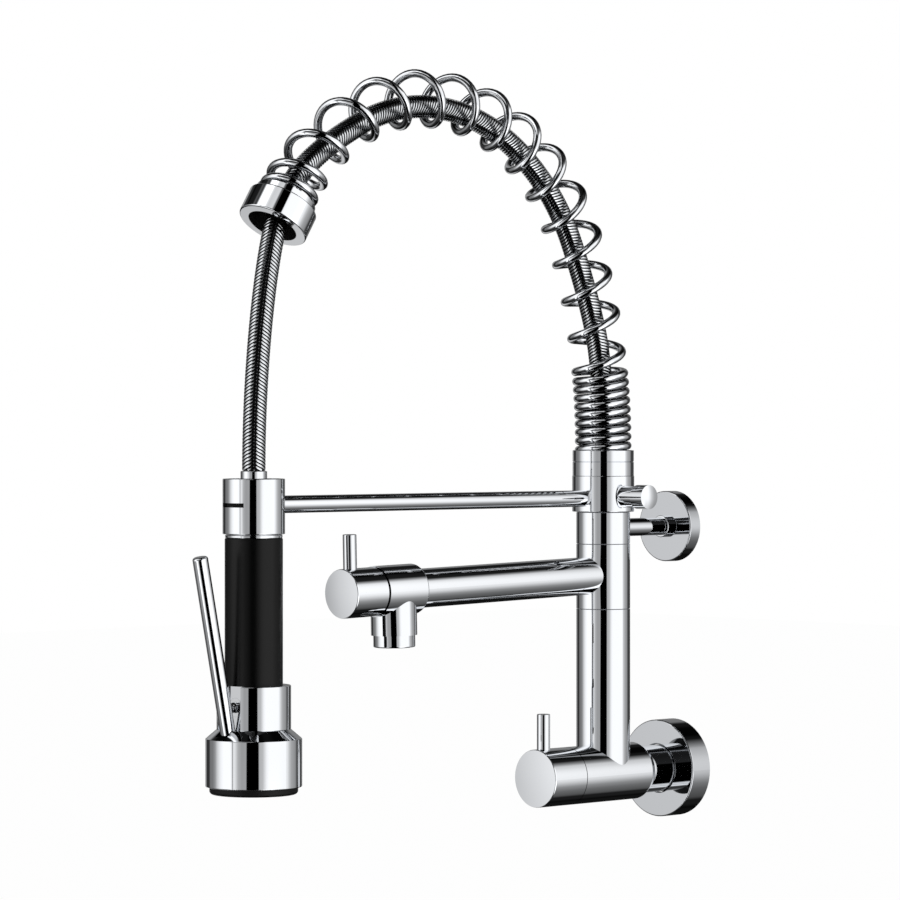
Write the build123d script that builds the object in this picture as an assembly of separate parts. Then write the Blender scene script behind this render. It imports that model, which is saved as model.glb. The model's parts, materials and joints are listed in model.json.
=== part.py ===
from build123d import *
import math
import os

# Wall-mounted kitchen faucet with a sprung pull-down spray and a swivel spout.
# Millimetres. The origin is the centre of the water inlet on the wall's face, the room is towards -Y.

# Clearances and small edges
running_gap = 0.1
loose_gap = 0.3
seat_gap = 0.05
edge_round = 0.5
soft_round = 0.8

# Wall inlet
inlet_thread_d = 20.955
inlet_thread_l = 16.0
inlet_bore_d = 14.0
inlet_collar_l = 8.0
flange_d = 60.0
flange_t = 15.6
flange_wall = 2.5
flange_round = 0.8
neck_d = 29.0
neck_wall = 2.4
neck_hidden = 6.0
nipple_step = 1.0

# Lower valve
barrel_d = 35.0
barrel_taper_l = 5.0
barrel_back = 38.0
barrel_front = 95.6
barrel_port_step = 2.0
valve_knob_gap = 0.5
valve_knob_l = 27.4
valve_bore_d = 24.0
valve_seat_at = 48.0
valve_pin_top = 38.6
pin_d = 8.0
pin_shank_d = 5.0
pin_from_face = 7.5
spindle_d = 8.0
seal_t = 2.0
disc_t = 2.0
disc_port_share = 0.3
drive_t = 2.0
window_l = 5.0
shoulder_gap = 1.2
cartridge_wall = 2.0
guide_wall = 3.0
valve_nut_l = 5.0
knob_edge = 1.2
knob_crown = 0.35

# Column
wall_to_column = 64.0
column_d = 33.0
column_wall = 3.5
column_neck_l = 22.0
sleeve_h = 39.1
upper_column_h = 18.9
slip_washer_t = 0.5
sleeve_wall = 5.5
stem_bore_d = 15.0
stem_foot_t = 4.0
stem_below_ferrule = 5.0
port_d = 7.0
slip_washer_inset = 0.6
o_ring_d = 2.0
o_ring_from_end = 6.0

# Wall bracket
bracket_height = 150.0
bracket_flange_d = 43.7
bracket_flange_t = 8.9
bracket_flange_wall = 2.0
bracket_plate_inset = 1.85
bracket_plate_t = 3.0
bracket_screw_d = 4.5
bracket_screw_spacing = 26.0
bracket_boss_d = 15.0
arm_d = 11.0
arm_spigot_d = 7.0
arm_spigot_short = 1.5
arm_ring_d = 13.6
arm_ring_t = 4.0

# Swivel spout
spout_up_sleeve = 20.35
spout_fall = 1.4
spout_tube_d = 23.0
spout_tube_wall = 1.5
spout_socket_l = 5.0
spout_seat_web = 1.5
spout_throat_d = 12.0
gallery_depth = 2.0
outlet_reach = 176.3
tee_l = 31.0
tee_d = 29.6
tee_bore_d = 20.0
spout_knob_gap = 1.1
spout_knob_step = 0.5
spout_knob_l = 24.7
spout_pin_top = 34.0
outlet_d = 27.0
outlet_bore_d = 17.0
outlet_drop = 26.0
aerator_d = 24.5
aerator_show = 7.1
aerator_thread_d = 22.0
aerator_thread_l = 8.0
aerator_wall = 2.0
aerator_lip = 1.0
aerator_lip_t = 2.0
aerator_screen_t = 1.2
screen_hole_d = 1.8
screen_pitch = 3.2
screen_rows = 5

# Dock arm
collar_d = 38.0
collar_h = 22.0
ferrule_d = 37.5
ferrule_h = 15.6
ferrule_groove = 0.4
ferrule_groove_below = 7.0
rod_d = 10.0
rod_spigot_d = 6.0
rod_spigot_root = 1.0
rod_up_collar = 8.25
thumb_d = 14.6
thumb_neck_d = 13.2
thumb_neck_l = 10.2
thumb_l = 20.4
thumb_crown = 0.8
thumb_above_rod = 1.1
thumb_shank_d = 6.0
thumb_pad_t = 2.0
thumb_groove = 1.2
dock_ring_d = 35.2
dock_ring_bore_d = 28.8
dock_ring_below_rod = 16.4
dock_ring_h = 31.2
dock_slit_h = 2.4
dock_slit_deep = 2.2
dock_slit_half = 30.0

# Spring over the hose
wire_d = 4.7
spring_d = 34.7
spring_quarter_turns = 95
dense_turns = 8.7
dense_gap = 0.7
opening_turns = 0.75
closing_turns = 2.85
pitch_growth = 0.78
spring_start_turn = 0.875
spring_straight = 6.6
spring_sunk = 2.6
spring_end_run = 1.2
lean_radius = 316.5
lean_turn = 22.3
arch_radius = 133.3
arch_turn = 125.4
cap_d = 41.0
cap_ring_l = 15.5
cap_rim_d = 36.0
cap_rim_l = 4.0
cap_bore_d = 29.5

# Hose: upright, then inside the spring by shares of the arch's length and of the room beside it, then by shares
# of the way down
hose_d = 13.6
hose_bore_d = 9.0
hose_bend_share = 0.45
hose_upright = [0.011, 0.115]
hose_in_spring = [(0.235, 0.0), (0.394, -0.05), (0.567, -0.06), (0.74, -0.05), (0.914, -0.06), (1.01, -0.52)]
hose_below = [(0.309, 0.678), (0.0, 0.2225), (0.0, 0.0)]
hose_drop_after = 18.5
hose_crimp_wall = 1.4
hose_crimp_l = 20.0
hose_tail_l = 10.0
hose_tail_foot_t = 3.0

# Spray head
wall_to_head = 348.0
hose_nut_d = 15.0
hose_nut_show = 4.3
hose_nut_foot_d = 18.0
hose_nut_foot_t = 4.0
neck_lip_d = 32.4
neck_lip_t = 1.9
neck_below_dock = 0.5
neck_foot_up = 12.2
neck_spigot_d = 20.0
neck_spigot_l = 10.0
grip_d = 32.8
grip_bore_d = 24.0
core_bore_d = 14.0
core_spigot_d = 18.0
core_spigot_l = 5.0
body_d = 42.0
body_h = 24.8
body_bottom = 42.0
body_bore_d = 15.0
groove_w = 19.6
bell_d = 54.5
bell_cone_h = 5.3
bell_h = 27.0
bell_wall = 2.2
bell_roof_t = 3.5
bell_rim = 2.25
bell_spigot_d = 26.0
bell_spigot_l = 6.0
face_show = 4.2
face_t = 7.5
face_round = 2.0
face_recess = 1.2
face_rim = 3.0
nozzle_d = 2.6
nozzle_tip_share = 0.7
nozzle_rings = [(6, 0.24), (12, 0.46), (18, 0.68)]

# Spray lever and the valve that it presses
lever_d = 8.8
lever_inset = 8.65
lever_pivot_down = 4.5
lever_l = 104.5
lever_lean = 11.71
lever_round = 1.5
lever_pin_d = 2.5
lever_pin_l = 18.0
lever_room = 0.6
pocket_floor_gap = 1.0
plunger_d = 6.0
plunger_up = 12.8
plunger_head_d = 10.0
plunger_head_t = 2.0
plunger_seal_t = 1.2
plunger_lift = 0.1
bush_d = 10.5
return_wire_d = 0.7
return_spring_d = 6.6
return_turns = 5

# Heights up the column, each piece standing on a slip washer, set by the bracket in the upper column's middle
upper_bottom = bracket_height - upper_column_h / 2
upper_top = bracket_height + upper_column_h / 2
sleeve_top = upper_bottom - slip_washer_t
sleeve_bottom = sleeve_top - sleeve_h
lower_column_top = sleeve_bottom - slip_washer_t
collar_bottom = upper_top + slip_washer_t
collar_top = collar_bottom + collar_h
ferrule_top = collar_top + ferrule_h
stem_top = ferrule_top - stem_below_ferrule
stem_bottom = lower_column_top - column_neck_l - stem_foot_t
column_r = column_d / 2
stem_r = column_r - sleeve_wall
bearing_r = stem_r + running_gap
arm_end = wall_to_column - stem_r - arm_spigot_short
spout_height = sleeve_bottom + spout_up_sleeve
rod_height = collar_bottom + rod_up_collar
thumb_height = rod_height + thumb_above_rod
dock_ring_bottom = rod_height - dock_ring_below_rod
dock_ring_top = dock_ring_bottom + dock_ring_h
nut_top = dock_ring_top + hose_nut_show

# Heights in the spray head, from the body's foot
body_top = body_bottom + body_h
bell_shoulder = body_bottom - bell_cone_h
bell_bottom = bell_shoulder - bell_h
face_bottom = bell_bottom - face_show
face_r = bell_d / 2 - bell_rim
plunger_height = body_bottom + plunger_up
lever_pivot_height = body_bottom - lever_pivot_down
lever_pivot_out = bell_d / 2 - lever_inset
groove_floor = lever_pivot_out - lever_d / 2 - lever_room
pocket_floor = lever_pivot_height - lever_d / 2 - pocket_floor_gap

# Directions: a plane's Z is the axis of what is turned on it
from_wall = Plane(origin=(0, 0, 0), x_dir=(1, 0, 0), z_dir=(0, -1, 0))
from_bracket = Plane(origin=(0, 0, bracket_height), x_dir=(1, 0, 0), z_dir=(0, -1, 0))
column = Plane(origin=(0, -wall_to_column, 0))
head = Plane(origin=(0, -wall_to_head, 0))
fall = math.radians(spout_fall)
along_spout = Plane(origin=(0, -wall_to_column, spout_height), x_dir=(1, 0, 0),
                    z_dir=(0, -math.cos(fall), -math.sin(fall)))
to_dock = Plane(origin=(0, -wall_to_column, rod_height), x_dir=(1, 0, 0), z_dir=(0, -1, 0))
to_thumb = Plane(origin=(0, -wall_to_column, thumb_height), x_dir=(0, 1, 0), z_dir=(1, 0, 0))

os.makedirs("parts", exist_ok=True)


def save(name, shape):
    shape.label = name
    export_step(shape, f"parts/{name}.step")


def turned(profile, plane, soft=0, corners=()):
    # A lathe piece: (radius, height) points turned about the plane's Z, some corners rounded.
    face = make_face(Polyline(*profile, close=True))
    if soft:
        wanted = [Vector(*profile[i]) for i in corners]
        rounded = [v for v in face.vertices() if any((Vector(v) - w).length < 1e-6 for w in wanted)]
        face = fillet(rounded, soft)
    return plane * revolve(Plane.XZ * face, Axis.Z)


def rod(radius, start, end, plane):
    return plane * Pos(0, 0, start) * Cylinder(radius, end - start, align=(Align.CENTER, Align.CENTER, Align.MIN))


def crown_ball(radius, rise, top, plane):
    # The ball that domes a round face by the rise, with its poles turned away from that face.
    ball_r = (radius ** 2 + rise ** 2) / (2 * rise)
    return plane * Pos(0, 0, top - ball_r) * Sphere(ball_r, rotation=(90, 0, 0))


def ring(inner, outer, start, end, plane):
    return turned([(inner, start), (outer, start), (outer, end), (inner, end)], plane)


def block(x, y, z, plane):
    # A box between pairs of limits.
    size = (x[1] - x[0], y[1] - y[0], z[1] - z[0])
    middle = (sum(x) / 2, sum(y) / 2, sum(z) / 2)
    return plane * Pos(*middle) * Box(*size)


def sideways(plane, at):
    # The plane's own Y as an axis, from a point along its Z.
    return Plane(origin=plane.location.position + plane.z_dir * at, x_dir=plane.x_dir, z_dir=plane.y_dir)


# Wall inlet

union_r = neck_d / 2
union_bore_r = union_r - neck_wall
nipple_r = union_bore_r - seat_gap
neck_back = flange_t - neck_hidden
neck_front = barrel_back - barrel_taper_l
washer_back = neck_front + nipple_step
washer_front = washer_back + seal_t


def build_inlet():
    bore = inlet_bore_d / 2
    thread = inlet_thread_d / 2
    collar_end = neck_back - seat_gap
    save("inlet_nipple", turned(
        [(bore, -inlet_thread_l), (thread, -inlet_thread_l), (thread, collar_end - inlet_collar_l),
         (nipple_r + nipple_step, collar_end - inlet_collar_l), (nipple_r + nipple_step, collar_end),
         (nipple_r, collar_end), (nipple_r, washer_back), (bore, washer_back)], from_wall))
    save("inlet_union", ring(union_bore_r, union_r, neck_back, neck_front, from_wall))
    save("inlet_washer", ring(bore, nipple_r, washer_back, washer_front, from_wall))
    rim = flange_d / 2
    save("inlet_flange", turned(
        [(rim - flange_wall, 0), (rim, 0), (rim, flange_t), (union_r + loose_gap, flange_t),
         (union_r + loose_gap, flange_t - flange_wall), (rim - flange_wall, flange_t - flange_wall)],
        from_wall, flange_round, (2, 3)))


# Quarter-turn ceramic valve, the same for the barrel and the spout

def build_valve(name, plane, seat_at, bore_d, front, knob_gap, knob_d, knob_l, pin_top):
    # Stations along the valve's axis, from the seat outwards
    fixed = seat_at + seal_t
    moving = fixed + disc_t
    drive = moving + seat_gap + disc_t
    windows = drive + drive_t
    shoulder = windows + window_l + shoulder_gap
    nut_start = front - valve_nut_l
    bore_r = bore_d / 2
    body_r = bore_r - seat_gap
    disc_r = body_r - cartridge_wall
    spindle_r = spindle_d / 2
    guide_r = spindle_r + guide_wall
    knob_back = front + knob_gap
    knob_face = knob_back + knob_l
    pin_at = knob_face - pin_from_face
    hub = pin_at - pin_shank_d
    knob_r = knob_d / 2

    save(f"{name}_seat_seal", ring(disc_r / 2, disc_r, seat_at, fixed, plane))
    port = disc_r * disc_port_share
    ports = [plane * Pos(x, 0, fixed) * Cylinder(port, 4 * disc_t) for x in (-disc_r / 2, disc_r / 2)]
    save(f"{name}_fixed_disc", rod(disc_r - seat_gap, fixed, moving, plane) - ports)
    save(f"{name}_moving_disc", rod(disc_r - loose_gap, moving + seat_gap, drive, plane) - ports)

    body = turned(
        [(disc_r, fixed), (body_r, fixed), (body_r, nut_start), (guide_r, nut_start), (guide_r, front),
         (spindle_r + running_gap, front), (spindle_r + running_gap, shoulder), (disc_r, shoulder)], plane)
    for window in (
        block((-disc_r / 2, disc_r / 2), (-bore_d, bore_d), (windows, windows + window_l), plane),
        block((-bore_d, bore_d), (-disc_r / 2, disc_r / 2), (windows, windows + window_l), plane),
    ):
        body -= window
    save(f"{name}_cartridge_body", body)
    save(f"{name}_cartridge_nut", ring(guide_r + seat_gap, bore_r - seat_gap, nut_start, front, plane))

    spindle_end = pin_at + pin_shank_d
    save(f"{name}_spindle", turned(
        [(0, drive), (disc_r - loose_gap, drive), (disc_r - loose_gap, windows), (spindle_r, windows),
         (spindle_r, spindle_end), (0, spindle_end)], plane))

    upright = sideways(plane, pin_at)
    knob = turned(
        [(guide_r + loose_gap, knob_back), (knob_r, knob_back), (knob_r, knob_face), (0, knob_face),
         (0, spindle_end + seat_gap), (spindle_r + seat_gap, spindle_end + seat_gap),
         (spindle_r + seat_gap, hub), (guide_r + loose_gap, hub)], plane, knob_edge, (2,))
    knob &= crown_ball(knob_r, knob_crown, knob_face, plane)
    knob -= rod(pin_shank_d / 2 + seat_gap, 0, knob_d, upright)
    save(f"{name}_knob", knob)
    pin_r = pin_d / 2
    pin = turned([(0, spindle_r), (pin_r, spindle_r), (pin_r, pin_top), (0, pin_top)], upright, edge_round, (2,))
    pin -= plane * Pos(0, 0, pin_at) * Cylinder(knob_r, knob_d)
    pin += rod(pin_shank_d / 2, spindle_r + seat_gap, (knob_r + pin_top) / 2, upright)
    save(f"{name}_knob_pin", pin)


def build_barrel():
    barrel_r = barrel_d / 2
    bore_r = valve_bore_d / 2
    water_r = inlet_bore_d / 2
    barrel = turned(
        [(nipple_r + seat_gap, neck_front), (union_r, neck_front), (barrel_r, barrel_back),
         (barrel_r, barrel_front), (bore_r, barrel_front), (bore_r, valve_seat_at), (water_r, valve_seat_at),
         (water_r, washer_front), (nipple_r + seat_gap, washer_front)], from_wall, knob_edge, (2,))
    barrel -= rod(column_r - column_wall - barrel_port_step, 0, barrel_d, column)
    save("valve_barrel", barrel)
    build_valve("valve", from_wall, valve_seat_at, valve_bore_d, barrel_front, valve_knob_gap, barrel_d,
                valve_knob_l, valve_pin_top)


# Column

def build_column():
    barrel_r = barrel_d / 2
    bore_r = column_r - column_wall
    neck_at = lower_column_top - column_neck_l
    lower = turned(
        [(bore_r, 0), (column_r, 0), (column_r, lower_column_top), (stem_r, lower_column_top),
         (stem_r, neck_at), (bore_r, neck_at)], column)
    save("lower_column", lower - rod(barrel_r, 0, wall_to_column * 2, from_wall))

    groove_r = stem_r - o_ring_d + running_gap
    groove_w = o_ring_d + 2 * seat_gap
    bore = stem_bore_d / 2
    stem = turned(
        [(bore, stem_bottom), (bore_r - seat_gap, stem_bottom), (bore_r - seat_gap, neck_at), (stem_r, neck_at),
         (stem_r, stem_top), (bore, stem_top)], column)
    o_ring_heights = (sleeve_bottom + o_ring_from_end, sleeve_top - o_ring_from_end)
    for height in o_ring_heights:
        stem -= ring(groove_r - seat_gap, column_r, height - groove_w / 2, height + groove_w / 2, column)
    across = Plane(origin=(0, -wall_to_column, spout_height), z_dir=(0, -1, 0))
    stem -= across * Cylinder(port_d / 2, stem_r * 4)
    stem -= to_thumb * Cylinder(port_d / 2, stem_r * 4)
    groove_half = thumb_shank_d / 2 + loose_gap
    stem -= ring(stem_r - thumb_groove, column_r, thumb_height - groove_half, thumb_height + groove_half, column)
    save("swivel_stem", stem)

    rings = [column * Pos(0, 0, h) * Torus(groove_r + o_ring_d / 2, o_ring_d / 2) for h in o_ring_heights]
    save("spout_o_rings", Compound(rings))
    washers = [ring(bearing_r, column_r - slip_washer_inset, h, h + slip_washer_t, column)
               for h in (lower_column_top, sleeve_top, upper_top)]
    save("slip_washers", Compound(washers))

    upper = ring(stem_r, column_r, upper_bottom, upper_top, column)
    upper -= rod(arm_spigot_d / 2 + seat_gap, 0, arm_end + seat_gap, from_bracket)
    save("upper_column", upper)


# Wall bracket

def build_bracket():
    plate_end = bracket_flange_t - bracket_flange_wall - loose_gap
    plate_r = bracket_flange_d / 2 - bracket_flange_wall - bracket_plate_inset
    spigot_r = arm_spigot_d / 2
    screws = [from_bracket * Pos(0, s * bracket_screw_spacing / 2, 0) * Cylinder(bracket_screw_d / 2, flange_t)
              for s in (-1, 1)]
    plate = turned(
        [(spigot_r + seat_gap, 0), (plate_r, 0), (plate_r, bracket_plate_t),
         (bracket_boss_d / 2, bracket_plate_t), (bracket_boss_d / 2, plate_end),
         (spigot_r + seat_gap, plate_end)], from_bracket)
    save("bracket_plate", plate - screws)

    arm_r = arm_d / 2
    arm = rod(arm_r, plate_end, wall_to_column, from_bracket) - rod(column_r, 0, bracket_height * 2, column)
    arm += rod(spigot_r, seat_gap, arm_end, from_bracket)
    save("bracket_arm", arm)

    rim = bracket_flange_d / 2
    bore = arm_r + seat_gap
    wall = bracket_flange_wall
    save("bracket_flange", turned(
        [(rim - wall, 0), (rim, 0), (rim, bracket_flange_t), (bore, bracket_flange_t),
         (bore, bracket_flange_t - wall), (rim - wall, bracket_flange_t - wall)],
        from_bracket, soft_round, (2,)))
    save("bracket_ring", turned(
        [(bore, bracket_flange_t), (arm_ring_d / 2, bracket_flange_t),
         (arm_ring_d / 2, bracket_flange_t + arm_ring_t), (bore, bracket_flange_t + arm_ring_t)],
        from_bracket, edge_round, (2,)))


# Swivel spout

def build_spout():
    tube_r = spout_tube_d / 2
    tube_bore = tube_r - spout_tube_wall
    gallery_r = stem_r + gallery_depth
    gallery = ring(stem_r, gallery_r, spout_height - tube_bore, spout_height + tube_bore, column)
    sleeve = ring(bearing_r, column_r, sleeve_bottom, sleeve_top, column) - gallery
    sleeve -= rod(tube_bore, 0, column_d, along_spout)
    save("spout_sleeve", sleeve)

    tee_back = outlet_reach - tee_l / 2
    tee_front = outlet_reach + tee_l / 2
    tube_end = tee_back + spout_socket_l
    tube = rod(tube_r, 0, tube_end, along_spout) - rod(tube_bore, 0, tube_end, along_spout)
    save("spout_tube", tube - rod(column_r, 0, spout_height * 2, column))

    seat_at = tube_end + spout_seat_web
    tee_r = tee_d / 2
    socket_r = tube_r + seat_gap
    tee_bore = tee_bore_d / 2
    throat = spout_throat_d / 2
    outlet = sideways(along_spout, outlet_reach)
    thread_top = -outlet_drop + aerator_thread_l + seal_t
    tee = turned(
        [(0, tee_back), (tee_r, tee_back), (tee_r, tee_front), (0, tee_front)],
        along_spout, knob_edge, (1,))
    tee += rod(outlet_d / 2, -outlet_drop, 0, outlet)
    tee -= turned(
        [(0, tee_back), (socket_r, tee_back), (socket_r, tube_end), (throat, tube_end), (throat, seat_at),
         (tee_bore, seat_at), (tee_bore, tee_front), (0, tee_front)], along_spout)
    tee -= turned(
        [(0, -outlet_drop), (aerator_thread_d / 2, -outlet_drop), (aerator_thread_d / 2, thread_top),
         (outlet_bore_d / 2, thread_top), (outlet_bore_d / 2, 0), (0, 0)], outlet)
    save("spout_tee", tee)
    knob_d = tee_d - 2 * spout_knob_step
    build_valve("spout", along_spout, seat_at, tee_bore_d, tee_front, spout_knob_gap, knob_d, spout_knob_l,
                spout_pin_top)
    build_aerator(outlet, thread_top)


def build_aerator(outlet, thread_top):
    thread_r = aerator_thread_d / 2 - seat_gap
    show_r = aerator_d / 2
    bore_r = thread_r - aerator_wall
    washer_bottom = thread_top - seal_t
    lip = -outlet_drop - aerator_show
    save("aerator_washer", ring(outlet_bore_d / 2, thread_r, washer_bottom, thread_top, outlet))
    save("aerator_housing", turned(
        [(bore_r, washer_bottom), (thread_r, washer_bottom), (thread_r, -outlet_drop), (show_r, -outlet_drop),
         (show_r, lip), (bore_r - aerator_lip, lip), (bore_r - aerator_lip, lip + aerator_lip_t),
         (bore_r, lip + aerator_lip_t)], outlet, soft_round, (4,)))
    screen = rod(bore_r - seat_gap, lip + aerator_lip_t, lip + aerator_lip_t + aerator_screen_t, outlet)
    holes = GridLocations(screen_pitch, screen_pitch, screen_rows, screen_rows)
    screen -= [outlet * Pos(0, 0, lip + aerator_lip_t) * spot * Cylinder(screen_hole_d / 2, 4 * aerator_screen_t)
               for spot in holes]
    save("aerator_screen", screen)


# Dock arm

def build_dock():
    collar_r = collar_d / 2
    spigot_r = rod_spigot_d / 2
    collar = turned(
        [(bearing_r, collar_bottom), (collar_r, collar_bottom), (collar_r, collar_top), (bearing_r, collar_top)],
        column, edge_round, (1, 2))
    spigot_in = (collar_r + bearing_r) / 2
    collar -= rod(spigot_r + seat_gap, spigot_in, collar_d, to_dock)
    collar -= rod(thumb_shank_d / 2 + running_gap, 0, collar_d, to_thumb)
    seat_r = thumb_neck_d / 2 + running_gap
    thumb_seat = math.sqrt(collar_r ** 2 - seat_r ** 2)
    collar -= rod(seat_r, thumb_seat, collar_d, to_thumb)
    save("dock_collar", collar)

    ring_r = dock_ring_d / 2
    ring_bore = dock_ring_bore_d / 2
    reach = wall_to_head - wall_to_column
    arm = rod(rod_d / 2, 0, reach, to_dock)
    arm -= rod(collar_r, 0, rod_height * 2, column)
    arm -= rod(ring_r, 0, rod_height * 2, head)
    arm += rod(spigot_r, spigot_in + seat_gap, collar_r + rod_spigot_root, to_dock)
    save("dock_rod", arm)

    dock = turned(
        [(ring_bore, dock_ring_bottom), (ring_r, dock_ring_bottom), (ring_r, dock_ring_top),
         (ring_bore, dock_ring_top)], head, edge_round, (1, 2))
    facing_room = -90.0
    slit = head * Pos(0, 0, rod_height) * Rot(0, 0, facing_room - dock_slit_half) * revolve(
        Plane.XZ * Pos(ring_r, 0) * Rectangle(2 * dock_slit_deep, dock_slit_h), Axis.Z, 2 * dock_slit_half)
    save("dock_ring", dock - slit)

    neck_end = collar_r + thumb_neck_l
    thumb_end = collar_r + thumb_l
    pad_at = stem_r - thumb_groove + running_gap
    shank_r = thumb_shank_d / 2
    thumb = turned(
        [(0, pad_at + thumb_pad_t), (shank_r, pad_at + thumb_pad_t), (shank_r, thumb_seat + loose_gap),
         (thumb_neck_d / 2, thumb_seat + loose_gap), (thumb_neck_d / 2, neck_end), (thumb_d / 2, neck_end),
         (thumb_d / 2, thumb_end), (0, thumb_end)], to_thumb)
    thumb &= crown_ball(thumb_d / 2, thumb_crown, thumb_end, to_thumb)
    save("thumbscrew", thumb)
    save("thumbscrew_pad", rod(shank_r, pad_at, pad_at + thumb_pad_t, to_thumb))


# Spring over the hose

coil_r = (spring_d - wire_d) / 2
wire_r = wire_d / 2
nudge = 0.01


def centre_line(s):
    # Point and lean at a distance along the arch: a straight run, a slow lean, the round arch, then straight on.
    out, up, lean = 0.0, ferrule_top - spring_sunk, 0.0
    runs = ((spring_straight, None), (math.radians(lean_turn) * lean_radius, lean_radius),
            (math.radians(arch_turn) * arch_radius, arch_radius))
    for length, radius in runs:
        step = min(s, length)
        if radius is None:
            up += step
        else:
            end = lean + step / radius
            out += radius * (math.cos(lean) - math.cos(end))
            up += radius * (math.sin(end) - math.sin(lean))
            lean = end
        s -= step
    return out + s * math.sin(lean), up + s * math.cos(lean), lean


arch_l = spring_straight + math.radians(lean_turn) * lean_radius + math.radians(arch_turn) * arch_radius


def ease(x):
    x = min(max(x, 0.0), 1.0)
    return x * x * (3 - 2 * x)


def spring_points():
    # Points and tangents of the wire at each quarter turn. The open pitch follows from the arch's length
    # and grows along it.
    quarters = spring_quarter_turns
    turns = quarters / 4
    start = wire_r + loose_gap
    length = arch_l - 2 * start
    dense_pitch = wire_d + dense_gap
    openness = []
    for i in range(quarters):
        at = (i + 0.5) / 4
        opened = ease((at - dense_turns) / opening_turns) * ease((turns - at) / closing_turns)
        openness.append(opened * (1 + pitch_growth * (at / turns - 0.5)))
    spare = (length - dense_pitch * turns) / (sum(openness) / 4)
    along = [start]
    for share in openness:
        along.append(along[-1] + (dense_pitch + spare * share) / 4)

    def wire(q):
        # The wire's centre at a fractional count of quarter turns.
        low = min(int(q), quarters - 1)
        s = along[low] + (along[low + 1] - along[low]) * (q - low)
        out, up, lean = centre_line(s)
        turn = 2 * math.pi * (spring_start_turn + q / 4)
        inward = coil_r * math.cos(turn)
        return Vector(coil_r * math.sin(turn),
                      -wall_to_column - out - inward * math.cos(lean),
                      up - inward * math.sin(lean))

    points = [wire(q) for q in range(quarters + 1)]
    tangents = [(wire(min(q + nudge, quarters)) - wire(max(q - nudge, 0))).normalized()
                for q in range(quarters + 1)]
    return points, tangents, wire, quarters


def biarc(start, start_way, end, end_way):
    # Two arcs that meet smoothly, leaving and arriving along the given directions.
    across = end - start
    ways = start_way + end_way
    square = 2 * (start_way.dot(end_way) - 1)
    linear = -2 * across.dot(ways)
    level = across.dot(across)
    if abs(square) < 1e-9:
        reach = -level / linear
    else:
        reach = (-linear - math.sqrt(linear * linear - 4 * square * level)) / (2 * square)
    first = start + start_way * reach
    second = end - end_way * reach
    middle = (first + second) * 0.5
    way = (second - first).normalized()
    return [Edge.make_tangent_arc(start, start_way, middle), Edge.make_tangent_arc(middle, way, end)]


def swept_wire(points, tangents, radius, run):
    # One unbroken wire, with short straight ends.
    edges = [Edge.make_line(points[0] - tangents[0] * run, points[0])]
    for i in range(len(points) - 1):
        edges += biarc(points[i], tangents[i], points[i + 1], tangents[i + 1])
    edges.append(Edge.make_line(points[-1], points[-1] + tangents[-1] * run))
    section = Plane(origin=points[0] - tangents[0] * run, z_dir=tangents[0]) * Circle(radius)
    return sweep(section, path=Wire(edges))


def least_gap(wire, quarters, radius):
    # The least distance between the surfaces of different turns, on points along the wire.
    per_quarter = 8
    samples = [wire(i / per_quarter) for i in range(quarters * per_quarter + 1)]
    half_turn = 2 * per_quarter
    one_turn = 6 * per_quarter
    return min((a - b).length for i, a in enumerate(samples)
               for b in samples[i + half_turn:i + one_turn]) - 2 * radius


def build_spring():
    points, tangents, wire, quarters = spring_points()
    print("spring: least gap between turns", round(least_gap(wire, quarters, wire_r), 2))
    save("arch_spring", swept_wire(points, tangents, wire_r, spring_end_run))

    boss_r = coil_r - wire_r - loose_gap
    seat_at = ferrule_top - spring_sunk
    boss_top = seat_at + spring_straight
    cup_r = spring_d / 2 + loose_gap
    ferrule_r = ferrule_d / 2
    mark = ferrule_top - ferrule_groove_below
    shoulder = stem_top + hose_tail_foot_t
    crimp_r = hose_d / 2 + hose_crimp_wall + loose_gap
    save("spring_ferrule", turned(
        [(bearing_r, collar_top), (ferrule_r, collar_top), (ferrule_r, mark - ferrule_groove),
         (ferrule_r - ferrule_groove, mark), (ferrule_r, mark + ferrule_groove), (ferrule_r, ferrule_top),
         (cup_r, ferrule_top), (cup_r, seat_at), (boss_r, seat_at), (boss_r, boss_top), (crimp_r, boss_top),
         (crimp_r, shoulder), (bearing_r, shoulder)], column, edge_round, (5,)))

    out, up, lean = centre_line(arch_l)
    mouth = Plane(origin=(0, -wall_to_column - out, up), x_dir=(1, 0, 0),
                  z_dir=(0, -math.sin(lean), math.cos(lean)))
    bore = cap_bore_d / 2
    cap_end = cap_rim_l + cap_ring_l
    save("spring_cap", turned(
        [(bore, 0), (cap_rim_d / 2, 0), (cap_rim_d / 2, cap_rim_l), (cap_d / 2, cap_rim_l), (cap_d / 2, cap_end),
         (bore, cap_end)], mouth, soft_round, (3, 4)))


# Hose

def hose_points():
    # Corners of the hose's line, by distance from the column's axis and height.
    room = coil_r - wire_r - hose_d / 2
    points = [(0.0, ferrule_top + share * arch_l) for share in hose_upright]
    for share, inward in hose_in_spring:
        out, up, lean = centre_line(share * arch_l)
        points.append((out + inward * room * math.cos(lean), up - inward * room * math.sin(lean)))
    end_out, end_up, _ = centre_line(arch_l)
    reach = wall_to_head - wall_to_column
    end = nut_top + running_gap
    for short, high in hose_below:
        points.append((reach - short * (reach - end_out), end + high * (end_up - end)))
    return points


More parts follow.
